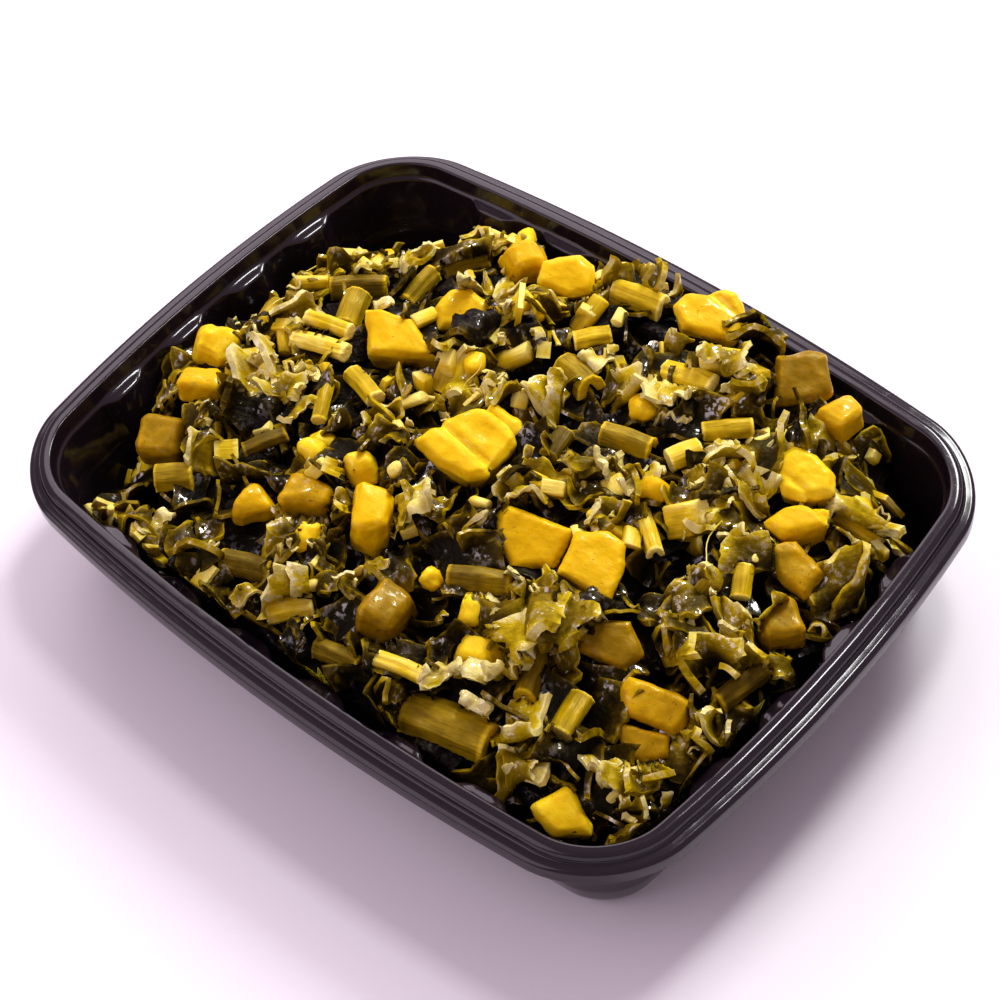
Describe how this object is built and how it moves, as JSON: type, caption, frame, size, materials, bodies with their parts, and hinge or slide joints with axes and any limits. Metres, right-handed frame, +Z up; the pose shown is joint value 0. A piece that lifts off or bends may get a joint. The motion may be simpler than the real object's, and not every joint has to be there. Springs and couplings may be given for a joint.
{
  "type": "tray of cooked callaloo",
  "caption": "Shallow rectangular takeaway tray with a stepped rim and fluted walls, heaped with chopped cooked callaloo leaves, stalk pieces and squash chunks; it rests on a flat foot.",
  "frame": {"origin": "centre of the tray's flat foot, on the surface that the tray stands on", "axes": "+X along the tray's long side, +Y along its short side, +Z up"},
  "size_m": [0.222, 0.1692, 0.0563],
  "materials": {
    "tray": "glossy black",
    "leaf": "wet cooked leaf, dark olive green",
    "squash": "wet cooked squash, golden yellow",
    "stalk": "wet cooked stalk, yellow olive"
  },
  "bodies": {
    "root": {"tray": "tray", "callaloo_leaf_heap": "leaf", "squash_chunk_01": "squash", "squash_chunk_02": "squash", "squash_chunk_03": "squash", "squash_chunk_04": "squash", "squash_chunk_05": "squash", "squash_chunk_06": "squash", "squash_chunk_07": "squash", "squash_chunk_08": "squash", "squash_chunk_09": "squash", "squash_chunk_10": "squash", "squash_chunk_11": "squash", "squash_chunk_12": "squash", "squash_chunk_13": "squash", "squash_chunk_14": "squash", "squash_chunk_15": "squash", "squash_chunk_16": "squash", "squash_chunk_17": "squash", "squash_chunk_18": "squash", "squash_chunk_19": "squash", "squash_chunk_20": "squash", "squash_chunk_21": "squash", "squash_chunk_22": "squash", "squash_chunk_23": "squash", "squash_chunk_24": "squash", "squash_chunk_25": "squash", "squash_chunk_26": "squash", "squash_chunk_27": "squash", "stalk_piece_01": "stalk", "stalk_piece_02": "stalk", "stalk_piece_03": "stalk", "stalk_piece_04": "stalk", "stalk_piece_05": "stalk", "stalk_piece_06": "stalk", "stalk_piece_07": "stalk", "stalk_piece_08": "stalk", "stalk_piece_09": "stalk", "stalk_piece_10": "stalk", "stalk_piece_11": "stalk", "stalk_piece_12": "stalk", "stalk_piece_13": "stalk", "stalk_piece_14": "stalk", "stalk_piece_15": "stalk", "stalk_piece_16": "stalk", "stalk_piece_17": "stalk", "stalk_piece_18": "stalk", "stalk_piece_19": "stalk", "stalk_piece_20": "stalk", "stalk_piece_21": "stalk", "stalk_piece_22": "stalk", "stalk_piece_23": "stalk", "stalk_piece_24": "stalk", "stalk_piece_25": "stalk", "stalk_piece_26": "stalk", "stalk_piece_27": "stalk", "stalk_piece_28": "stalk", "stalk_piece_29": "stalk", "stalk_piece_30": "stalk"}
  },
  "joints": []
}
